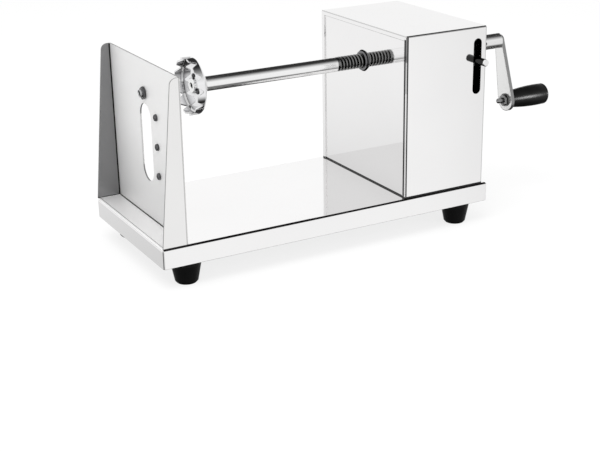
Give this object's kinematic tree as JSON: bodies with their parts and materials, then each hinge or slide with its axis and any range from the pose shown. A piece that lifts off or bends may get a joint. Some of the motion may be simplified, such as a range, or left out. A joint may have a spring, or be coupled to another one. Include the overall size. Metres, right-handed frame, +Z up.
{
  "type": "hand cranked spiral potato cutter",
  "caption": "Steel tray on rubber feet with a slotted blade plate, a gear box with a sliding pin, a threaded shaft with a toothed potato disc, and a crank with a black grip.",
  "frame": {"origin": "on the table under the middle of the machine's overall box", "axes": "+X from the blade plate towards the crank along the shaft, +Y away from the side with the release pin, +Z up"},
  "size_m": [0.5373, 0.1976, 0.2252],
  "materials": {
    "stainless_sheet": "mirror polished stainless sheet",
    "blade_steel": "ground stainless blade",
    "chrome_disc": "bright pressed and polished steel",
    "shaft_steel": "turned and threaded stainless bar",
    "crank_steel": "polished flat bar and turned hub",
    "fastener_steel": "bright stainless screws and nuts",
    "lever_steel": "zinc plated bar",
    "pin_steel": "turned and polished pin",
    "guide_steel": "turned stainless",
    "bronze": "turned bronze",
    "bearing_steel": "ground bearing steel",
    "housing_steel": "turned steel",
    "spring_steel": "wound spring wire",
    "foot_rubber": "moulded black rubber",
    "grip_plastic": "moulded black handle, glossy"
  },
  "bodies": {
    "frame": {"base_tray": "stainless_sheet", "foot_front_left": "foot_rubber", "foot_front_right": "foot_rubber", "foot_rear_left": "foot_rubber", "foot_rear_right": "foot_rubber", "foot_screws": "fastener_steel", "foot_washers": "fastener_steel", "foot_nuts": "fastener_steel", "blade_bracket": "stainless_sheet", "cutting_blade": "blade_steel", "blade_screws": "fastener_steel", "blade_nuts": "fastener_steel", "skewer_guide": "guide_steel", "skewer_guide_nut": "fastener_steel", "box_cover": "stainless_sheet", "left_end_plate": "stainless_sheet", "right_end_plate": "stainless_sheet", "end_plate_screws": "fastener_steel", "end_plate_nuts": "fastener_steel", "cover_screws": "fastener_steel", "left_bearing_housing": "housing_steel", "right_bearing_housing": "housing_steel", "housing_screws": "fastener_steel", "housing_nuts": "fastener_steel", "left_bearing_outer_ring": "bearing_steel", "right_bearing_outer_ring": "bearing_steel", "pivot_bolt": "fastener_steel", "pivot_spacer": "bronze", "pivot_washer": "fastener_steel", "pivot_lock_nut": "fastener_steel", "spring_post": "fastener_steel", "spring_post_nut": "fastener_steel", "return_spring": "spring_steel"},
    "bearing_rings": {"left_bearing_inner_ring": "bearing_steel", "right_bearing_inner_ring": "bearing_steel"},
    "bearing_balls": {"left_bearing_balls": "bearing_steel", "left_bearing_cage": "bronze", "right_bearing_balls": "bearing_steel", "right_bearing_cage": "bronze"},
    "crank_shaft": {"main_shaft": "shaft_steel", "potato_disc": "chrome_disc", "disc_hub": "crank_steel", "disc_screws": "fastener_steel", "disc_set_screw": "fastener_steel", "crank_hub": "crank_steel", "hub_set_screw": "fastener_steel", "crank_arm": "crank_steel", "handle_bolt": "fastener_steel", "handle_washer": "fastener_steel", "handle_nut": "fastener_steel", "grip_washer": "fastener_steel"},
    "grip": {"handle_grip": "grip_plastic"},
    "release": {"release_lever": "lever_steel", "half_nut": "bronze", "half_nut_screws": "fastener_steel", "release_pin": "pin_steel", "spring_pin": "fastener_steel"}
  },
  "joints": [
    {"name": "crank_turn", "type": "hinge", "parent": "frame", "child": "bearing_rings", "pos_m": [0.22, 0.0065, 0.1823], "axis": [1, 0, 0], "range_deg": [-3060, 10080]},
    {"name": "bearing_roll", "type": "hinge", "parent": "frame", "child": "bearing_balls", "pos_m": [0.22, 0.0065, 0.1823], "axis": [1, 0, 0], "range_deg": [-1180, 3880]},
    {"name": "shaft_feed", "type": "slide", "parent": "bearing_rings", "child": "crank_shaft", "axis": [1, 0, 0], "range_m": [-0.0341, 0.1121]},
    {"name": "grip_spin", "type": "hinge", "parent": "crank_shaft", "child": "grip", "pos_m": [0.2314, -0.01104, 0.1135], "axis": [1, 0, 0], "continuous": true},
    {"name": "half_nut_release", "type": "hinge", "parent": "frame", "child": "release", "pos_m": [0.1138, 0.0765, 0.1732], "axis": [1, 0, 0], "range_deg": [0, 11.6], "stiffness_Nm_per_rad": 0.9, "springref_deg": -17.19, "deforming": ["return_spring"]}
  ],
  "couplings": [
    {"joint": "bearing_roll", "follows": "crank_turn", "ratio": 0.3843},
    {"joint": "shaft_feed", "follows": "crank_turn", "m_per_rad": 0.00063662}
  ]
}
